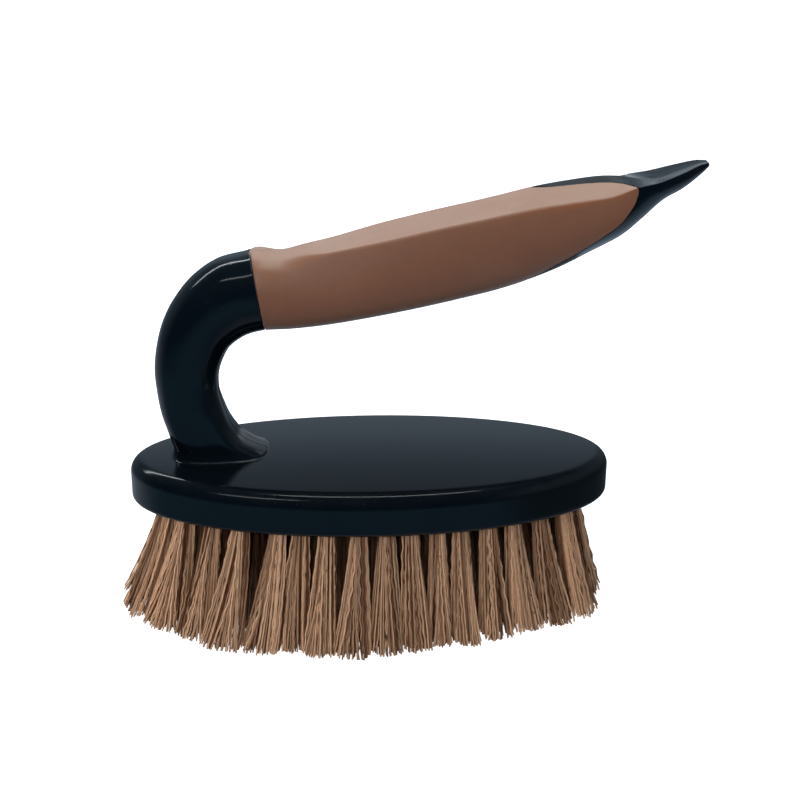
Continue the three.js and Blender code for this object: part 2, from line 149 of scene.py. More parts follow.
# ----------------------------------------------------------------- materials
class Nodes:
    """Small helper round a material's node tree."""

    def __init__(self, name):
        self.material = bpy.data.materials.new(name)
        self.material.use_nodes = True
        self.tree = self.material.node_tree
        self.tree.nodes.clear()
        out = self.add("ShaderNodeOutputMaterial")
        self.bsdf = self.add("ShaderNodeBsdfPrincipled")
        self.link(self.bsdf.outputs[0], out.inputs["Surface"])
        self.coords = self.add("ShaderNodeTexCoord").outputs["Object"]

    def add(self, kind):
        return self.tree.nodes.new(kind)

    def link(self, a, b):
        self.tree.links.new(a, b)

    def noise(self, scale, detail=3.0, rough=0.5, stretch=None, distortion=0.0, turn=(0, 0, 0)):
        vector = self.coords
        if stretch is not None:
            mapping = self.add("ShaderNodeMapping")
            mapping.inputs["Rotation"].default_value = turn
            mapping.inputs["Scale"].default_value = stretch
            self.link(vector, mapping.inputs["Vector"])
            vector = mapping.outputs[0]
        n = self.add("ShaderNodeTexNoise")
        n.inputs["Scale"].default_value = scale
        n.inputs["Detail"].default_value = detail
        n.inputs["Roughness"].default_value = rough
        n.inputs["Distortion"].default_value = distortion
        self.link(vector, n.inputs["Vector"])
        return n.outputs["Fac"]

    def specks(self, scale, size):
        """1 inside small round specks, 0 outside."""
        v = self.add("ShaderNodeTexVoronoi")
        v.inputs["Scale"].default_value = scale
        self.link(self.coords, v.inputs["Vector"])
        return self.span(v.outputs["Distance"], size, size * 0.4, 0.0, 1.0)

    def span(self, value, a, b, c, d):
        """Maps a..b onto c..d, clamped."""
        m = self.add("ShaderNodeMapRange")
        m.inputs["From Min"].default_value = a
        m.inputs["From Max"].default_value = b
        m.inputs["To Min"].default_value = c
        m.inputs["To Max"].default_value = d
        self.link(value, m.inputs["Value"])
        return m.outputs["Result"]

    def math(self, op, a, b):
        m = self.add("ShaderNodeMath")
        m.operation = op
        for value, socket in ((a, m.inputs[0]), (b, m.inputs[1])):
            if isinstance(value, (int, float)):
                socket.default_value = value
            else:
                self.link(value, socket)
        return m.outputs[0]

    def mix(self, fac, a, b, kind="MIX"):
        m = self.add("ShaderNodeMix")
        m.data_type = "RGBA"
        m.blend_type = kind
        for value, socket in ((fac, m.inputs[0]), (a, m.inputs[6]), (b, m.inputs[7])):
            if isinstance(value, (int, float)):
                socket.default_value = value
            elif isinstance(value, tuple):
                socket.default_value = (*value, 1.0)
            else:
                self.link(value, socket)
        return m.outputs[2]

    def value(self, name):
        a = self.add("ShaderNodeAttribute")
        a.attribute_name = name
        return a.outputs["Fac"]

    def bump(self, height, strength, distance, normal=None):
        b = self.add("ShaderNodeBump")
        b.inputs["Strength"].default_value = strength
        b.inputs["Distance"].default_value = distance
        self.link(height, b.inputs["Height"])
        if normal is not None:
            self.link(normal, b.inputs["Normal"])
        return b.outputs[0]

    def set(self, **values):
        for name, value in values.items():
            socket = self.bsdf.inputs[name.replace("_", " ")]
            if isinstance(value, (int, float, tuple)):
                socket.default_value = value
            else:
                self.link(value, socket)


def black_plastic():
    n = Nodes("black_plastic")
    smudge = n.noise(48, 5, 0.55, distortion=0.6)
    peel = n.noise(620, 2, 0.4)
    grain = n.noise(5200, 2, 0.5)
    scratch = n.span(n.noise(1, 2, 0.5, stretch=(55, 1500, 1500), turn=(0.2, 0.1, 0.35)), 0.66, 0.74, 0.0, 1.0)
    scuff = n.span(n.noise(150, 4, 0.65), 0.42, 0.7, 0.0, 1.0)
    wear = n.math("MULTIPLY", n.value("wear"), scuff)
    dust = n.math("MULTIPLY", n.specks(330, 0.1), n.span(n.noise(70, 2), 0.5, 0.62, 0.0, 1.0))
    tone = n.mix(n.span(smudge, 0.3, 0.7, 0.0, 1.0), (0.0018, 0.0044, 0.0074), (0.0030, 0.0064, 0.0098))
    tone = n.mix(n.math("MULTIPLY", wear, 0.5), tone, (0.030, 0.036, 0.042))
    tone = n.mix(n.math("MULTIPLY", dust, 0.15), tone, (0.10, 0.10, 0.10))
    rough = n.span(smudge, 0.25, 0.75, 0.09, 0.15)
    rough = n.math("ADD", rough, n.math("MULTIPLY", scratch, 0.10))
    rough = n.math("ADD", rough, n.math("MULTIPLY", wear, 0.14))
    normal = n.bump(peel, 0.12, 0.00012)
    normal = n.bump(grain, 0.06, 0.00003, normal)
    normal = n.bump(scratch, 0.10, 0.00002, normal)
    n.set(Base_Color=tone, Roughness=rough, Normal=normal, IOR=1.46)
    return n.material


def tan_rubber():
    n = Nodes("tan_rubber")
    patch = n.noise(36, 4, 0.6, distortion=0.4)
    mottle = n.noise(420, 3, 0.6)
    grain = n.noise(2600, 3, 0.6)
    pore = n.specks(900, 0.16)
    crease = n.math("MULTIPLY", n.value("crease"), n.span(n.noise(120, 3), 0.3, 0.7, 0.45, 1.0))
    rub = n.span(n.noise(90, 4, 0.65, stretch=(0.5, 1, 1)), 0.52, 0.74, 0.0, 1.0)
    tone = n.mix(n.span(patch, 0.3, 0.7, 0.0, 1.0), (0.285, 0.105, 0.047), (0.323, 0.124, 0.059))
    tone = n.mix(n.span(mottle, 0.35, 0.7, 0.0, 0.35), tone, (0.242, 0.088, 0.038))
    tone = n.mix(n.math("MULTIPLY", rub, 0.25), tone, (0.345, 0.170, 0.098))
    tone = n.mix(n.math("MULTIPLY", crease, 0.9), tone, (0.40, 0.118, 0.026))
    tone = n.mix(n.math("MULTIPLY", pore, 0.25), tone, (0.15, 0.065, 0.035))
    rough = n.span(patch, 0.3, 0.7, 0.42, 0.52)
    rough = n.math("ADD", rough, n.math("MULTIPLY", rub, -0.06))
    normal = n.bump(mottle, 0.10, 0.0002)
    normal = n.bump(grain, 0.22, 0.00006, normal)
    n.set(Base_Color=tone, Roughness=rough, Normal=normal, IOR=1.5, Specular_IOR_Level=1.0, Sheen_Weight=0.5, Sheen_Roughness=0.42)
    return n.material


def filament():
    n = Nodes("filament")
    along, shade, painted_root_shade = n.value("along"), n.value("tone"), n.value("painted_root_shade")
    streak = n.noise(1, 3, 0.6, stretch=(2600, 2600, 260))
    blotch = n.noise(240, 3, 0.55)
    tone = n.mix(shade, (0.130, 0.046, 0.018), (0.950, 0.585, 0.355))
    tone = n.mix(n.span(along, 0.6, 1.0, 0.0, 0.15), tone, (0.620, 0.340, 0.185))
    tone = n.mix(n.span(streak, 0.45, 0.75, 0.0, 0.30), tone, (0.200, 0.078, 0.033))
    tone = n.mix(n.span(blotch, 0.5, 0.8, 0.0, 0.25), tone, (0.500, 0.225, 0.098))
    # Painted shade: inner and centre tufts darken towards the root, where the tufts shade one another
    tone = n.mix(n.math("MULTIPLY", painted_root_shade, n.span(along, 1.0, 0.40, 0.42, 0.88)), tone, (0.046, 0.0165, 0.0070))
    rough = n.span(streak, 0.3, 0.7, 0.40, 0.60)
    normal = n.bump(streak, 0.25, 0.00004)
    n.set(Base_Color=tone, Roughness=rough, Normal=normal, IOR=1.5, Specular_IOR_Level=0.3)
    return n.material


def pale_floor():
    n = Nodes("pale_floor")
    cloud = n.noise(2.5, 3, 0.5)
    tone = n.mix(n.span(cloud, 0.3, 0.7, 0.0, 1.0), (0.86, 0.86, 0.865), (0.89, 0.89, 0.89))
    n.set(Base_Color=tone, Roughness=0.7, Normal=n.bump(n.noise(900, 2), 0.05, 0.0002))
    n.bsdf.inputs["Emission Color"].default_value = (1.0, 1.0, 1.0, 1.0)
    n.bsdf.inputs["Emission Strength"].default_value = 1.0
    return n.material


BLACK, TAN, FIBRE = black_plastic(), tan_rubber(), filament()


# --------------------------------------------------------------------- block
def block_top(x, y):
    r2 = (np.asarray(x) / (BLOCK_A - EDGE_TOP)) ** 2 + (np.asarray(y) / (BLOCK_B - EDGE_TOP)) ** 2
    return BLOCK_TOP + CROWN * np.maximum(0, 1 - r2)


def make_block(tufts):
    cols = 320
    th = np.arange(cols) / cols * 2 * np.pi
    c, s = np.cos(th), np.sin(th)
    a, b = BLOCK_A - EDGE_TOP, BLOCK_B - EDGE_TOP
    rows, wear = [], []
    for r in np.r_[np.linspace(0.06, 0.9, 22), 0.94, 0.97, 1.0]:
        rows.append(np.stack([a * r * c, b * r * s, BLOCK_TOP + CROWN * (1 - r * r) + 0 * c], -1))
        wear.append(0.0)
    # The edge starts with the tilt that the crown has at the rim
    slope = 2 * CROWN * np.sqrt((c / a) ** 2 + (s / b) ** 2)
    tilt = np.arctan(slope)
    radius = EDGE_TOP / (1 - np.sin(tilt))
    for f in np.linspace(0, 1, 15)[1:]:
        beta = tilt + (np.pi / 2 - tilt) * f
        out = radius * (np.sin(beta) - np.sin(tilt))
        drop = radius * (np.cos(tilt) - np.cos(beta))
        rows.append(np.stack([(a + out) * c, (b + out) * s, BLOCK_TOP - drop], -1))
        wear.append(0.3 * math.exp(-((f - 0.35) / 0.22) ** 2))
    low = BLOCK_Z0 + EDGE_LOW
    side_top = rows[-1][:, 2].copy()
    for f in (0.15, 0.35, 0.6, 0.85, 1.0):
        rows.append(np.stack([BLOCK_A * c, BLOCK_B * s, side_top * (1 - f) + low * f], -1))
        wear.append(0.0)
    for f in np.linspace(0, 1, 9)[1:]:
        inset, drop = EDGE_LOW * (1 - math.cos(f * math.pi / 2)), EDGE_LOW * math.sin(f * math.pi / 2)
        rows.append(np.stack([(BLOCK_A - inset) * c, (BLOCK_B - inset) * s, low - drop + 0 * c], -1))
        wear.append(0.25 * math.sin(f * math.pi))
    verts = np.concatenate(rows)
    wear = np.repeat(wear, cols)
    n_rows = len(rows)
    blocks = [grid_faces(n_rows, cols)[:, ::-1]]
    verts = np.vstack([verts, [[0, 0, BLOCK_TOP + CROWN]]])
    tris = [fan(np.arange(cols), len(verts) - 1)]

    # Underside, pierced by one chamfered blind hole for each tuft
    ring = (n_rows - 1) * cols + np.arange(cols)
    flat = [Vector(verts[i][:2]) for i in ring]
    edges = [(i, (i + 1) % cols) for i in range(cols)]
    sides = 22
    ang = np.arange(sides) / sides * 2 * np.pi
    mouths = []
    for t in tufts:
        at = np.array(t["root"])
        start = len(flat)
        flat += [Vector(at + (HOLE_R + HOLE_CHAMFER) * np.array([math.cos(q), math.sin(q)])) for q in ang]
        edges += [(start + i, start + (i + 1) % sides) for i in range(sides)]
        mouths.append(start)
    points, _, faces, _, _, _ = delaunay_2d_cdt(flat, edges, [], 0, 1e-6)
    assert len(points) == len(flat)
    base = len(verts)
    index = np.r_[ring, base + np.arange(len(flat) - cols)]
    verts = np.vstack([verts, [[p.x, p.y, BLOCK_Z0] for p in points[cols:]]])
    holes = np.array([t["root"] for t in tufts])
    low_tris = []
    for f in faces:
        mid = np.mean([points[i] for i in f], axis=0)
        if np.min(np.hypot(*(holes - mid).T)) < HOLE_R + HOLE_CHAMFER * 0.9:
            continue
        p = [points[i] for i in f]
        turn = (p[1] - p[0]).cross(p[2] - p[0])
        low_tris.append([index[i] for i in (f if turn < 0 else f[::-1])])
    tris.append(np.array(low_tris))
    for t, start in zip(tufts, mouths):
        lean = (np.array(t["tip"]) - np.array(t["root"])) / BLOCK_Z0
        prev = index[start + np.arange(sides)]
        for r, z in ((HOLE_R, BLOCK_Z0 + HOLE_CHAMFER), (HOLE_R, HOLE_TOP)):
            at = np.array(t["root"]) - lean * (z - BLOCK_Z0)
            first = len(verts)
            verts = np.vstack([verts, np.stack([at[0] + r * np.cos(ang), at[1] + r * np.sin(ang), 0 * ang + z], -1)])
            now = first + np.arange(sides)
            blocks.append(np.stack([prev, now, np.roll(now, -1), np.roll(prev, -1)], -1))
            prev = now
        verts = np.vstack([verts, [[*(np.array(t["root"]) - lean * (HOLE_TOP - BLOCK_Z0)), HOLE_TOP]]])
        tris.append(fan(prev, len(verts) - 1, flip=True))
    obj = mesh_object("block", verts, blocks + [np.vstack(tris)], BLACK, sharp=32)
    point_value(obj, "wear", np.r_[wear, np.zeros(len(verts) - len(wear))])
    finish_piece(obj, "brush_block")
    return obj


# -------------------------------------------------------------------- handle
Q_A, Q_B = 0.93, 1.02              # the crease is rounded between these
Q = np.r_[0, 0.009, 0.020, 0.032, 0.053, 0.085, np.linspace(0.12, Q_A, 28),
          np.linspace(Q_A, Q_B, 9)[1:-1],
          np.linspace(Q_B, 1.93, 44), 1.95, 1.965, 1.979, 1.9876, 1.9921, 1.9965, 2.0]
AROUND = 2 * (len(Q) - 1)


def spread(s):
    """Places on the section for the points of a ring, with the ends of the rounding: soft at the neck, then crisp."""
    crisp = smoothstep(14.4, 15.9, s)
    a, b = 0.62 + (Q_A - 0.62) * crisp, 1.16 + (Q_B - 1.16) * crisp
    q = np.where(Q < Q_A, Q * a / Q_A, np.where(Q > Q_B, 2 - (2 - Q) * (2 - b) / (2 - Q_B), a + (Q - Q_A) * (b - a) / (Q_B - Q_A)))
    return q, a, b


def edge(cols, s):
    """Uniform Catmull-Rom curve through the stations."""
    p = STATIONS[:, cols]
    p = np.vstack([2 * p[0] - p[1], p, 2 * p[-1] - p[-2]])
    s = np.clip(s, 0, LAST)
    i = np.minimum(s.astype(int), LAST - 1)
    t = (s - i)[..., None]
    p0, p1, p2, p3 = p[i], p[i + 1], p[i + 2], p[i + 3]
    m0, m1 = 0.5 * (p2 - p0), 0.5 * (p3 - p1)
    return (2 * t**3 - 3 * t**2 + 1) * p1 + (t**3 - 2 * t**2 + t) * m0 + (3 * t**2 - 2 * t**3) * p2 + (t**3 - t**2) * m1


def section(s, q, inset):
    """Half section: q is 0 on the ridge, 1 on the crease and 2 on the keel."""
    s, q, inset = np.broadcast_arrays(np.asarray(s, float), np.asarray(q, float), np.asarray(inset, float))
    o, u = edge([0, 1], s), edge([2, 3], s)
    mid, d = (o + u) / 2, o - u
    length = np.linalg.norm(d, axis=-1)
    h, up = length / 2, d / length[..., None]
    w, wc, drop, crease = np.moveaxis(edge([4, 5, 6, 7], s), -1, 0)
    crease = np.clip(crease, 0, 1)
    nc = h - drop
    top = q <= 1
    t1, t2 = np.clip(q, 0, 1), np.clip(q - 1, 0, 1)
    r = 1 - t2
    b0, b1, b2, b3 = r**3, 3 * r * r * t2, 3 * r * t2 * t2, t2**3
    fy = np.where(top, wc * t1, b0 * wc + b1 * (wc + 1.1 * (w - wc)) + b2 * 1.05 * w)
    hollow = 0.06 * wc * smoothstep(22.4, 23.4, s)
    fn = np.where(top, h - drop * t1**1.12 - hollow * (1 - t1 * t1), b0 * nc + b1 * (nc - 0.52 * (nc + h)) - b2 * h - b3 * h)
    ang = np.where(top, 0.28 * np.pi * t1, 0.28 * np.pi + 0.72 * np.pi * t2)
    foot = 1 - smoothstep(2.5, 6.0, s)
    shin = smoothstep(0.3, 2.2, s) * (1 - smoothstep(2.6, 8.6, s))
    m = np.where(ang < np.pi / 2, 2 / (2.3 + 0.5 * foot), 2 / (2.3 + 1.3 * foot + 1.1 * shin))
    ry = w * np.maximum(0, np.sin(ang)) ** m
    rn = h * np.sign(np.cos(ang)) * np.abs(np.cos(ang)) ** m * np.where(ang > np.pi / 2, 1 - 0.035 * shin, 1)
    y = (ry * (1 - crease) + fy * crease) * (1 - inset / w)
    n = (rn * (1 - crease) + fn * crease) * (1 - inset / h)
    return np.stack([mid[..., 0] + up[..., 0] * n, y, mid[..., 1] + up[..., 1] * n], -1), up


def ring(s, inset=0.0, seam=0.0):
    """A closed ring of points round the handle at station s, which may differ from point to point."""
    s = np.broadcast_to(np.asarray(s, float), Q.shape)
    q, a, b = spread(s)
    p, up = section(s, q, inset)
    u = np.clip((Q - Q_A) / (Q_B - Q_A), 0, 1)[:, None]
    bend = (1 - u) ** 2 * section(s, a, inset)[0] + 2 * u * (1 - u) * section(s, 1.0, inset)[0] + u**2 * section(s, b, inset)[0]
    sharp = np.clip(edge([7], s), 0, 1) * ((Q > Q_A) & (Q < Q_B))[:, None]
    p = p + sharp * (bend - p)
    if seam:
        rise = seam * (1 - smoothstep(0.42, 0.68, p[:, 1])) * np.where(Q < 1, 0.4, -1.0)
        p = p + np.stack([up[:, 0] * rise, 0 * rise, up[:, 1] * rise], -1)
    far = p[-2:0:-1] * np.array([1, -1, 1])
    return np.vstack([p, far])


def both(values):
    """A value for each point of a ring from one for each point of the half section."""
    return np.r_[values, values[-2:0:-1]]


def grip_end(q):
    fine = np.linspace(-0.4, 2.4, 1401)
    folded = np.abs(fine)
    folded = np.where(folded > 2, 4 - folded, folded)
    raw = np.interp(folded, GRIP_END[:, 0], GRIP_END[:, 1])
    k = np.exp(-0.5 * (np.arange(-60, 61) * (fine[1] - fine[0]) / 0.028) ** 2)
    soft = np.convolve(np.pad(raw, 60, mode="edge"), k / k.sum(), mode="valid")
    return np.interp(q, fine, soft)


END = grip_end(Q)
SPLIT = JOINT + 0.16 + 0.22 * np.sin(np.pi * Q / 2)


def make_core():
    rows, wear = [], []

    def add(points, w=0.0):
        rows.append(points)
        wear.append(np.broadcast_to(np.asarray(w, float), (AROUND,)))

    # Foot: a small cove runs out onto the block
    sole = ring(0.0, seam=0.15)
    t = np.roll(sole, -1, axis=0) - np.roll(sole, 1, axis=0)
    out = np.stack([t[:, 1], -t[:, 0]], -1)
    out /= np.linalg.norm(out, axis=1)[:, None]
    if np.sum(out[:, 0] * (sole[:, 0] - sole[:, 0].mean())) < 0:
        out = -out
    cove = 0.75
    for f in np.linspace(0, 1, 7):
        off, rise = cove * (1 - math.sin(f * math.pi / 2)), cove * (1 - math.cos(f * math.pi / 2))
        p = sole.copy()
        p[:, :2] += out * off
        p[:, 2] = block_top(p[:, 0], p[:, 1]) + 0.02 + rise
        add(p, 0.6 * (1 - f))
    for s in np.r_[np.linspace(0.75, 2.0, 14), np.linspace(2.0, JOINT - 0.07, 112)[1:]]:
        add(ring(s + (SPLIT - JOINT) * smoothstep(10.0, JOINT - 0.07, s), seam=0.22 * smoothstep(11.5, 9.0, s)))
    # Rounded end of the neck, the bar inside the grip, and the start of the tail
    for f in np.linspace(0, 1, 6)[1:]:
        add(ring(SPLIT - 0.07 * (1 - math.sin(f * math.pi / 2)), 0.45 * (1 - math.cos(f * math.pi / 2))), 0.3)
    add(ring(SPLIT, 1.5))
    add(ring(SPLIT, SKIN + 0.15))
    begin = END + 0.04
    for f in np.linspace(0, 1, 22)[1:]:
        add(ring(SPLIT + (begin - SPLIT) * f, SKIN + 0.15))
    add(ring(begin, 1.2))
    for f in np.linspace(0, 1, 6):
        add(ring(begin + 0.05 * (1 - math.cos(f * math.pi / 2)), 0.3 * (1 - math.sin(f * math.pi / 2))))
    ridge = both(np.exp(-((Q - 0.95) / 0.06) ** 2))
    for f in np.linspace(0, 1, 56)[1:]:
        add(ring(begin + 0.05 + (LAST - begin - 0.05) * f), 0.7 * ridge)
    # Blunt tip
    last = rows[-1]
    middle = last.mean(0)
    way = np.array([3.0, 0, 0.75])
    way /= np.linalg.norm(way)
    for f in (0.35, 0.6, 0.8, 0.93):
        add(middle + (last - middle) * math.sqrt(1 - f * f) + way * 0.5 * f, 0.8)
    verts = np.vstack([np.concatenate(rows), [rows[0].mean(0) * [1, 1, 0] + [0, 0, rows[0][:, 2].mean()]], [middle + way * 0.5]])
    n = len(rows)
    quads = grid_faces(n, AROUND)
    tris = np.vstack([fan(np.arange(AROUND), len(verts) - 2, flip=True), fan((n - 1) * AROUND + np.arange(AROUND), len(verts) - 1)])
    obj = mesh_object("handle", verts, [quads, tris], BLACK, sharp=48)
    point_value(obj, "wear", np.r_[np.concatenate(wear), 0, 0.8])
    outward(obj)
    finish_piece(obj, "handle_core")
    return obj


def outward(obj):
    """Turns a closed mesh's faces outwards."""
    mesh = obj.data
    mesh.calc_loop_triangles()
    co = np.empty(len(mesh.vertices) * 3)
    mesh.vertices.foreach_get("co", co)
    tri = np.empty(len(mesh.loop_triangles) * 3, np.int32)
    mesh.loop_triangles.foreach_get("vertices", tri)
    p = co.reshape(-1, 3)[tri.reshape(-1, 3)]
    if np.einsum("ij,ij->i", p[:, 0], np.cross(p[:, 1], p[:, 2])).sum() < 0:
        mesh.flip_normals()


def make_grip():
    rows, crease = [], []
    line = both(np.exp(-((Q - 1.02) / 0.035) ** 2))

    def add(s, inset):
        rows.append(ring(s, inset))
        crease.append(line * (0.35 + 0.65 * smoothstep(17, 20, np.mean(s))) * smoothstep(15, 16.5, np.mean(s)))

    start, lip = SPLIT + 0.03, 0.16
    stop = END + 0.015
    add(start, SKIN)
    add(start, 1.4)
    for f in np.linspace(0, 1, 8):
        add(start + lip * (1 - math.cos(f * math.pi / 2)), 0.5 * (1 - math.sin(f * math.pi / 2)))
    for f in np.linspace(0, 1, 150)[1:]:
        add(start + lip + (stop - 0.04 - start - lip) * f, 0.0)
    for f in np.linspace(0, 1, 6)[1:]:
        add(stop - 0.04 * (1 - math.sin(f * math.pi / 2)), 0.28 * (1 - math.cos(f * math.pi / 2)))
    add(stop, 1.4)
    add(stop, SKIN)
    for f in np.linspace(1, 0, 24)[1:-1]:
        add(start + (stop - start) * f, SKIN)
    verts = np.concatenate(rows)
    quads = grid_faces(len(rows), AROUND, wrap_rows=True)
    obj = mesh_object("grip", verts, [quads], TAN, sharp=48)
    point_value(obj, "crease", np.concatenate(crease))
    outward(obj)
    finish_piece(obj, "grip_sleeve")
    return obj


# --------------------------------------------------------------------- tufts
def ring_angles(a, b, count, start):
    n = 4000
    t = (np.arange(1, n + 1) - 0.5) / n * 2 * np.pi
    s = np.r_[0, np.cumsum(np.hypot(a * np.sin(t), b * np.cos(t)))]
    want = ((np.arange(count) + start) / count) % 1 * s[-1]
    return np.searchsorted(s, want) / n * 2 * np.pi


def set_ring(tufts, across):
    for i, t in enumerate(tufts):
        before, after = np.array(tufts[i - 1]["tip"]), np.array(tufts[(i + 1) % len(tufts)]["tip"])
        d = after - before
        t["dir"] = d / np.linalg.norm(d)
        t["along"] = [0.47 * np.linalg.norm(before - t["tip"]), 0.47 * np.linalg.norm(after - t["tip"])]
        t["across"] = across
        t["fill"] = 1.08 - (0.13 + 0.03 * math.sin(1.7 * i)) * float(smoothstep(-5, 25, t["tip"][0])) if across > 5 else 1.07
    return tufts


def all_tufts():
    near = []
    for deg, x, y in OUTER_SIDE:
        a = math.radians(deg)
        near.append({"root": (-OUTER_ROOT[0] * math.cos(a), -OUTER_ROOT[1] * math.sin(a)), "tip": (x, y)})
    far = [{"root": (t["root"][0], -t["root"][1]), "tip": (t["tip"][0], -t["tip"][1])} for t in near[::-1]]
    outer = set_ring(near + [{"root": (OUTER_ROOT[0], 0.0), "tip": (OUTER_END_TIP, 0.0)}] + far, 5.3)
    inner = set_ring([{"root": (INNER_ROOT[0] * math.cos(t), INNER_ROOT[1] * math.sin(t)),
                       "tip": (INNER_TIP[0] * math.cos(t), INNER_TIP[1] * math.sin(t))}
                      for t in ring_angles(*INNER_ROOT, INNER_COUNT, 0.5)], 4.6)
    centre = [{"root": (i * CENTRE_PITCH, 0.0), "tip": (i * CENTRE_PITCH, 0.0), "dir": np.array([1.0, 0.0]),
               "along": [4.7, 4.7], "across": 4.7, "fill": 1.07} for i in range(-4, 5)]
    return outer, inner, centre


def square_up(v):
    """Widens a round layout a little towards a square, so that trimmed tips line up."""
    phi = np.arctan2(v[:, 1], v[:, 0])
    k = (np.abs(np.cos(phi)) ** 4.0 + np.abs(np.sin(phi)) ** 4.0) ** (-1 / 4.0)
    return v * k[:, None]


def strands(t, rng, count, sides, steps, thick, root):
    """The filaments of one tuft: points, faces, and the attributes of each point."""
    i = np.arange(count)
    rho, phi = ((i + 0.5) / count) ** 0.4, i * 2.39996 + rng.uniform(0, 6.28)
    rim = smoothstep(0.6, 0.92, rho)
    disc = np.stack([rho * np.cos(phi), rho * np.sin(phi)], -1) + rng.normal(0, 0.03, (count, 2))
    # The filaments hang together in loose locks
    k = np.arange(9)
    rho, phi = 0.93 * np.sqrt((k + 0.5) / 9), k * 2.39996 + rng.uniform(0, 6.28)
    locks = np.stack([rho * np.cos(phi), rho * np.sin(phi)], -1)
    lock = np.argmin(np.linalg.norm(disc[:, None] - locks[None], axis=-1), axis=1)
    own = locks[lock]
    shift = rng.normal(0, 0.05, (9, 2))[lock]
    twist = rng.uniform(-2.4, 2.4, 9)[lock]
    along, across = np.array(t["dir"]), np.array([-t["dir"][1], t["dir"][0]])

    def at_tip(v):
        v = square_up(v)
        return np.stack([np.where(v[:, 0] < 0, *t["along"]) * t["fill"] * v[:, 0], t["across"] * 0.97 * v[:, 1]], -1)

    root_lock, root_off = root * own, root * (disc - own)
    tip_lock = at_tip(own + shift)
    tip_off = at_tip(own + shift + 1.0 * (disc - own) + rng.normal(0, 0.04, (count, 2))) - tip_lock
    far = rng.random(count) < 0.02
    tip_off[far] *= 1.3
    lean = rng.normal(0, 0.25, 2)
    tip_z = np.abs(rng.normal(0, 0.10, count)) + 0.03
    stray = rng.random(count) < 0.03
    tip_z[stray] += rng.uniform(0.2, 0.7, stray.sum())
    z0 = BLOCK_Z0 + 5.0
    f = np.linspace(0, 1, steps + 1)[None, :]
    z = z0 + (tip_z[:, None] - z0) * f
    g = (BLOCK_Z0 - z) / (BLOCK_Z0 - tip_z[:, None])
    gp = np.clip(g, 0, None)
    ease = np.where(g < 0, g * 0.6, gp * (0.72 + 0.28 * gp))[..., None]
    turn = twist[:, None] * (gp - 1)
    off = root_off[:, None] + (tip_off - root_off)[:, None] * ease
    c, sn = np.cos(turn), np.sin(turn)
    off = np.stack([off[..., 0] * c - off[..., 1] * sn, off[..., 0] * sn + off[..., 1] * c], -1)
    local = root_lock[:, None] + (tip_lock - root_lock)[:, None] * ease + off
    base = np.array(t["root"]) + (np.array(t["tip"]) + lean - np.array(t["root"])) * ease
    p = np.empty((count, steps + 1, 3))
    p[..., :2] = base + local[..., :1] * along + local[..., 1:] * across
    p[..., 2] = z
    # Slack wander and a slight crimp, which the filaments of a lock nearly share
    way = rng.uniform(0, 2 * np.pi, count)
    bow = rng.normal(0, 0.24, count)[:, None] * np.sin(np.pi * gp) * gp
    way2 = rng.uniform(0, 2 * np.pi, 9)[lock] + rng.normal(0, 0.6, count)
    period = rng.uniform(4.6, 6.2, 9)[lock][:, None]
    phase = rng.random(9)[lock][:, None] + rng.normal(0, 0.2, count)[:, None]
    crimp = rng.uniform(0.14, 0.34, count)[:, None] * np.sin(2 * np.pi * (z / period + phase)) * smoothstep(0.02, 0.2, g)
    p[..., 0] += bow * np.cos(way)[:, None] + crimp * np.cos(way2)[:, None]
    p[..., 1] += bow * np.sin(way)[:, None] + crimp * np.sin(way2)[:, None]
    tangent = np.gradient(p, axis=1)
    tangent /= np.linalg.norm(tangent, axis=-1, keepdims=True)
    e1 = np.array([1.0, 0, 0]) - tangent * tangent[..., :1]
    e1 /= np.linalg.norm(e1, axis=-1, keepdims=True)
    e2 = np.cross(tangent, e1)
    radius = thick * rng.uniform(0.92, 1.08, count)[:, None, None, None] * np.where(f > 0.97, 0.9, 1.0)[..., None, None]
    a = (np.arange(sides) / sides * 2 * np.pi)[None, None, :, None]
    verts = p[:, :, None, :] + radius * (np.cos(a) * e1[:, :, None, :] + np.sin(a) * e2[:, :, None, :])
    verts[..., 2] = np.maximum(verts[..., 2], 0.02)
    per = (steps + 1) * sides
    quad = grid_faces(steps + 1, sides)
    first = (np.arange(count) * per)[:, None, None]
    quads = (first + quad[None]).reshape(-1, 4)
    caps = np.concatenate([(first[:, 0] + np.arange(sides)[None, ::-1]), (first[:, 0] + steps * sides + np.arange(sides)[None])])
    # Painted shade: filaments inside a tuft are darker than those on its rim, on top of a random tone for each lock and
    # filament
    tone = 0.24 + 0.46 * rim + rng.normal(0, 0.10, 9)[lock] + rng.normal(0, 0.26, count)
    # Some strands are dark; the leftmost tufts get fewer of them, a painted lightening where light falls from the left
    tone[rng.random(count) < (0.18 if t["root"][0] < -58 else 0.32)] -= 0.45
    tone = np.clip(tone, 0.0, 1.0)
    tones = np.repeat(tone, per)
    alongs = np.broadcast_to(np.clip(g, 0, 1)[:, :, None], (count, steps + 1, sides)).ravel()
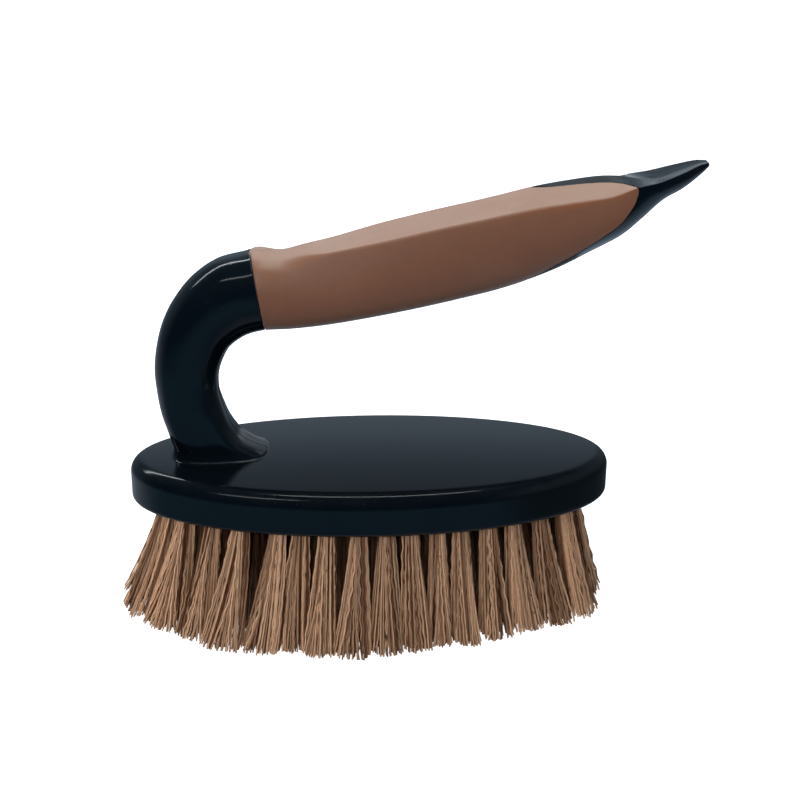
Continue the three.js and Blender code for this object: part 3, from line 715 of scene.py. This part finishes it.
    # One strip of the map for each filament
    k = np.arange(sides)
    cell = np.stack([np.stack([k, k + 1, k + 1, k], -1)[None].repeat(steps, 0) / sides,
                     np.stack([np.arange(steps)] * 2 + [np.arange(1, steps + 1)] * 2, -1)[:, None, :].repeat(sides, 1) / steps], -1)
    uv = cell.reshape(1, -1, 2).repeat(count, 0)
    strip = (np.arange(count) / count)[:, None]
    uv = np.stack([strip + (0.08 + 0.84 * uv[..., 0]) / count, 0.02 + 0.94 * uv[..., 1]], -1)
    ca = np.stack([0.5 + 0.4 * np.cos(np.arange(sides) / sides * 6.283), 0.5 + 0.5 * np.sin(np.arange(sides) / sides * 6.283)], -1)
    cap_low = np.stack([strip + ca[None, :, 0] / count, 0.0 + 0.015 * ca[None, :, 1] + 0 * strip], -1)[:, ::-1]
    cap_high = np.stack([strip + ca[None, :, 0] / count, 0.975 + 0.02 * ca[None, :, 1] + 0 * strip], -1)
    return verts.reshape(-1, 3), quads, caps, tones, alongs, uv.reshape(-1, 2), np.concatenate([cap_low, cap_high]).reshape(-1, 2)


def make_tuft(name, node, tufts, seed, count, sides, steps, thick, painted_root_shade):
    rng = np.random.RandomState(seed)
    parts = [strands(t, rng, count, sides, steps, thick, 2.45 if painted_root_shade else 2.02) for t in tufts]
    offset = np.cumsum([0] + [len(p[0]) for p in parts])
    verts = np.concatenate([p[0] for p in parts])
    quads = np.concatenate([p[1] + o for p, o in zip(parts, offset)])
    caps = np.concatenate([p[2] + o for p, o in zip(parts, offset)])
    obj = mesh_object(name, verts, [quads, caps], FIBRE, sharp=65)
    point_value(obj, "tone", np.concatenate([p[3] for p in parts]))
    point_value(obj, "along", np.concatenate([p[4] for p in parts]))
    # Painted shade on inner and centre tufts, weaker on those at the left end, which the light from the left reaches
    point_value(obj, "painted_root_shade", np.concatenate([np.full(len(p[0]), painted_root_shade * (0.7 if t["root"][0] < -38 else 1.0)) for p, t in zip(parts, tufts)]))
    width = 1.0 / len(parts)
    uv = np.concatenate([p[5] * [width, 1] + [j * width, 0] for j, p in enumerate(parts)]
                        + [p[6] * [width, 1] + [j * width, 0] for j, p in enumerate(parts)])
    layer = obj.data.uv_layers.new(name="OFBake")
    layer.uv.foreach_set("vector", uv.astype(np.float32).ravel())
    outward(obj)
    finish_piece(obj, node)
    return obj


outer, inner, centre = all_tufts()
make_block(outer + inner + centre)
handle = make_core()
grip = make_grip()
ring_tufts = [make_tuft(f"bristles_outer_{i + 1:02d}", f"outer_tuft_{i + 1:02d}", [t], 100 + i, 120, 6, 15, 0.27, 0.0)
              for i, t in enumerate(outer)]
for i in range(0, INNER_COUNT, 2):
    make_tuft(f"bristles_inner_{i // 2 + 1:02d}", f"inner_tuft_pair_{i // 2 + 1:02d}", inner[i:i + 2], 300 + i, 104, 5, 10, 0.27, 1.0)
for i, t in enumerate(centre):
    make_tuft(f"bristles_centre_{i + 1}", f"centre_tuft_{i + 1}", [t], 500 + i, 60, 5, 9, 0.29, 1.0)


# --------------------------------------------------------- floor, light, lens
def make_floor():
    n, half = 24, 8000.0
    g = np.linspace(-half, half, n + 1)
    x, y = np.meshgrid(g, g)
    verts = np.stack([x.ravel(), y.ravel(), 0 * x.ravel()], -1)
    i = np.arange(n)[:, None] * (n + 1) + np.arange(n)[None, :]
    quads = np.stack([i, i + 1, i + n + 2, i + n + 1], -1).reshape(-1, 4)
    floor = mesh_object("floor", verts, [quads], pale_floor())
    floor.visible_glossy = False
    floor.visible_diffuse = False
    # A round pale wall far off, seen by the camera alone
    a = np.linspace(0, 2 * np.pi, 96, endpoint=False)
    low = np.stack([7900 * np.cos(a), 7900 * np.sin(a), 0 * a], -1)
    k = np.arange(96)
    wall = mesh_object("backdrop", np.vstack([low, low + [0, 0, 7000]]), [np.stack([k, k + 96, (k + 1) % 96 + 96, (k + 1) % 96], -1)],
                       floor.data.materials[0])
    wall.visible_glossy = wall.visible_diffuse = wall.visible_shadow = False


def strip_light(name, x, y, z, size, radiance, colour=(1, 1, 1), mirrored=True, only=None):
    """A rectangle of light, long in X, turned about X to face the object. With only set, it lights those pieces alone."""
    data = bpy.data.lights.new(name, "AREA")
    data.shape = "RECTANGLE"
    data.size, data.size_y = x[1] - x[0], size
    data.energy = radiance * math.pi * (x[1] - x[0]) * size
    data.color = colour
    obj = bpy.data.objects.new(name, data)
    obj.location = ((x[0] + x[1]) / 2, y, z)
    obj.rotation_euler = (math.atan2(-y, z - 0.06), 0, 0)
    obj.visible_glossy = mirrored
    bpy.context.scene.collection.objects.link(obj)
    if only is not None:
        lit = bpy.data.collections.new(name + "_lights")
        for piece in only:
            lit.objects.link(piece)
        obj.light_linking.receiver_collection = lit
    return obj


def make_world():
    """A dim room: a pale glow low behind the object, a dark front, a bluish floor side."""
    world = bpy.data.worlds.new("studio")
    bpy.context.scene.world = world
    world.use_nodes = True
    nt = world.node_tree
    nt.nodes.clear()
    out = nt.nodes.new("ShaderNodeOutputWorld")
    back = nt.nodes.new("ShaderNodeBackground")
    coord = nt.nodes.new("ShaderNodeTexCoord")
    split = nt.nodes.new("ShaderNodeSeparateXYZ")
    nt.links.new(coord.outputs["Generated"], split.inputs[0])

    def ramp(stops):
        scale = nt.nodes.new("ShaderNodeMapRange")
        scale.inputs["From Min"].default_value, scale.inputs["From Max"].default_value = -1, 1
        nt.links.new(split.outputs["Z"], scale.inputs["Value"])
        node = nt.nodes.new("ShaderNodeValToRGB")
        el = node.color_ramp.elements
        for k, (height, colour) in enumerate(stops):
            if k > 1:
                el.new((height + 1) / 2)
            el[k].position, el[k].color = (height + 1) / 2, (*colour, 1)
        nt.links.new(scale.outputs[0], node.inputs[0])
        return node.outputs[0]

    upper = ((0.09, (0.213, 0.26, 0.31)), (0.17, (0.232, 0.285, 0.343)), (0.30, (0.29, 0.36, 0.435)), (0.41, (0.288, 0.36, 0.44)),
             (0.50, (0.28, 0.352, 0.428)), (0.56, (0.256, 0.322, 0.392)), (0.72, (0.24, 0.302, 0.365)), (0.79, (0.07, 0.09, 0.11)),
             (1.0, (0.04, 0.05, 0.06)))
    under = (-1.0, (0.26, 0.30, 0.35))
    centre = ramp((under, (-0.68, (0.22, 0.27, 0.33)), (-0.5, (0.15, 0.19, 0.24)), (-0.02, (0.13, 0.17, 0.22))) + upper)
    left = ramp((under, (-0.42, (0.34, 0.40, 0.48)), (-0.12, (0.11, 0.14, 0.18)), (0.20, (0.13, 0.17, 0.21)), (1.0, (0.04, 0.05, 0.06))))
    right = ramp((under, (-0.55, (0.08, 0.10, 0.12)), (-0.42, (0.05, 0.065, 0.08)), (-0.02, (0.05, 0.065, 0.08)), (0.17, (0.12, 0.15, 0.18)),
                  (0.45, (0.15, 0.19, 0.23)), (0.72, (0.12, 0.15, 0.18)), (0.79, (0.05, 0.06, 0.08)), (1.0, (0.04, 0.05, 0.06))))
    before = ramp((under, (-0.7, (0.08, 0.13, 0.19)), (-0.38, (0.088, 0.180, 0.262)), (-0.12, (0.015, 0.03, 0.055)),
                   (0.30, (0.012, 0.02, 0.035)), (1.0, (0.04, 0.05, 0.06))))

    def blend(axis, a, b, low, high):
        """One colour below a, another above b, along an axis."""
        span = nt.nodes.new("ShaderNodeMapRange")
        span.interpolation_type = "SMOOTHSTEP"
        span.inputs["From Min"].default_value, span.inputs["From Max"].default_value = a, b
        nt.links.new(split.outputs[axis], span.inputs["Value"])
        mix = nt.nodes.new("ShaderNodeMix")
        mix.data_type = "RGBA"
        nt.links.new(span.outputs[0], mix.inputs[0])
        nt.links.new(low, mix.inputs[6])
        nt.links.new(high, mix.inputs[7])
        return mix.outputs[2]

    behind = blend("X", -0.55, -0.15, left, blend("X", 0.15, 0.55, centre, right))
    around = blend("Y", -0.25, 0.45, before, behind)
    around = blend("X", 0.45, 0.72, around, right)
    nt.links.new(around, back.inputs["Color"])
    nt.links.new(back.outputs[0], out.inputs["Surface"])
    back.inputs["Strength"].default_value = 1.0


def make_camera():
    data = bpy.data.cameras.new("camera")
    data.lens, data.sensor_width = 67.83, 36.0
    data.shift_x, data.shift_y = 0.0369, -0.0184
    data.clip_start, data.clip_end = 0.01, 60.0
    cam = bpy.data.objects.new("camera", data)
    eye, aim = Vector((-0.02016, -0.41675, 0.23857)), Vector((0.0, 0.0, 0.070))
    cam.location = eye
    cam.rotation_mode = "QUATERNION"
    cam.rotation_quaternion = (aim - eye).to_track_quat("-Z", "Y") @ Quaternion((0, 0, 1), math.radians(0.14))
    bpy.context.scene.collection.objects.link(cam)
    bpy.context.scene.camera = cam


make_floor()
make_world()
strip_light("strip_back", (-1.70, -0.20), 0.66, 1.10, 0.10, 10.0, (0.9, 0.96, 1.0))
strip_light("strip_rim", (-0.25, 0.35), -0.12, 1.10, 0.05, 8.0, (0.9, 0.96, 1.0))
strip_light("strip_neck", (-0.85, -0.30), -0.80, 1.05, 0.06, 6.0, (0.9, 0.96, 1.0))
strip_light("key_front", (-1.0, 0.1), -1.45, 0.85, 0.45, 6.1, mirrored=False)
strip_light("key_left", (-2.0, -1.4), -0.25, 0.40, 0.45, 8.0, mirrored=False)
strip_light("kick_end", (-1.9, -1.2), -0.90, 0.45, 0.5, 7.5, mirrored=False, only=ring_tufts[:2] + ring_tufts[-2:])
strip_light("fill_front", (-1.3, 0.9), -1.70, 0.95, 1.1, 0.85, mirrored=False)
strip_light("fill_top", (-0.8, 1.0), 0.10, 1.60, 1.2, 0.7, mirrored=False)
strip_light("softbox_grip", (-0.9, 1.2), 0.95, 1.30, 1.2, 1.3, (0.92, 1.06, 1.0), only=[grip])
strip_light("softbox_grip_end", (0.0, 1.3), 0.25, 1.50, 1.0, 2.3, (0.92, 1.06, 1.0), only=[grip])
for low, high, radiance in ((-2, 9, 0.34), (9, 20, 0.18), (20, 31, 0.05), (31, 40, 0.10), (40, 48, 0.35), (48, 66, 0.80), (66, 112, 3.0)):
    mid, half = math.radians((low + high) / 2), math.radians((high - low) / 2)
    strip_light(f"softbox_tail_{high}", (-0.10, 0.60), 1.2 * math.cos(mid), 0.06 + 1.2 * math.sin(mid), 2.4 * math.tan(half), radiance,
                (0.88, 0.97, 1.0), only=[handle])
# A pale card on the floor, right of the camera's view, turned up to the tail
card = strip_light("card_tail", (0.12, 0.60), -0.215, 0.004, 0.67, 0.8, (0.55, 0.76, 1.0), only=[handle])
card.rotation_euler = (math.pi, 0, 0)
card.visible_camera = False
card.data.spread = math.radians(150)
make_camera()
bpy.context.scene.view_settings.view_transform = "Standard"
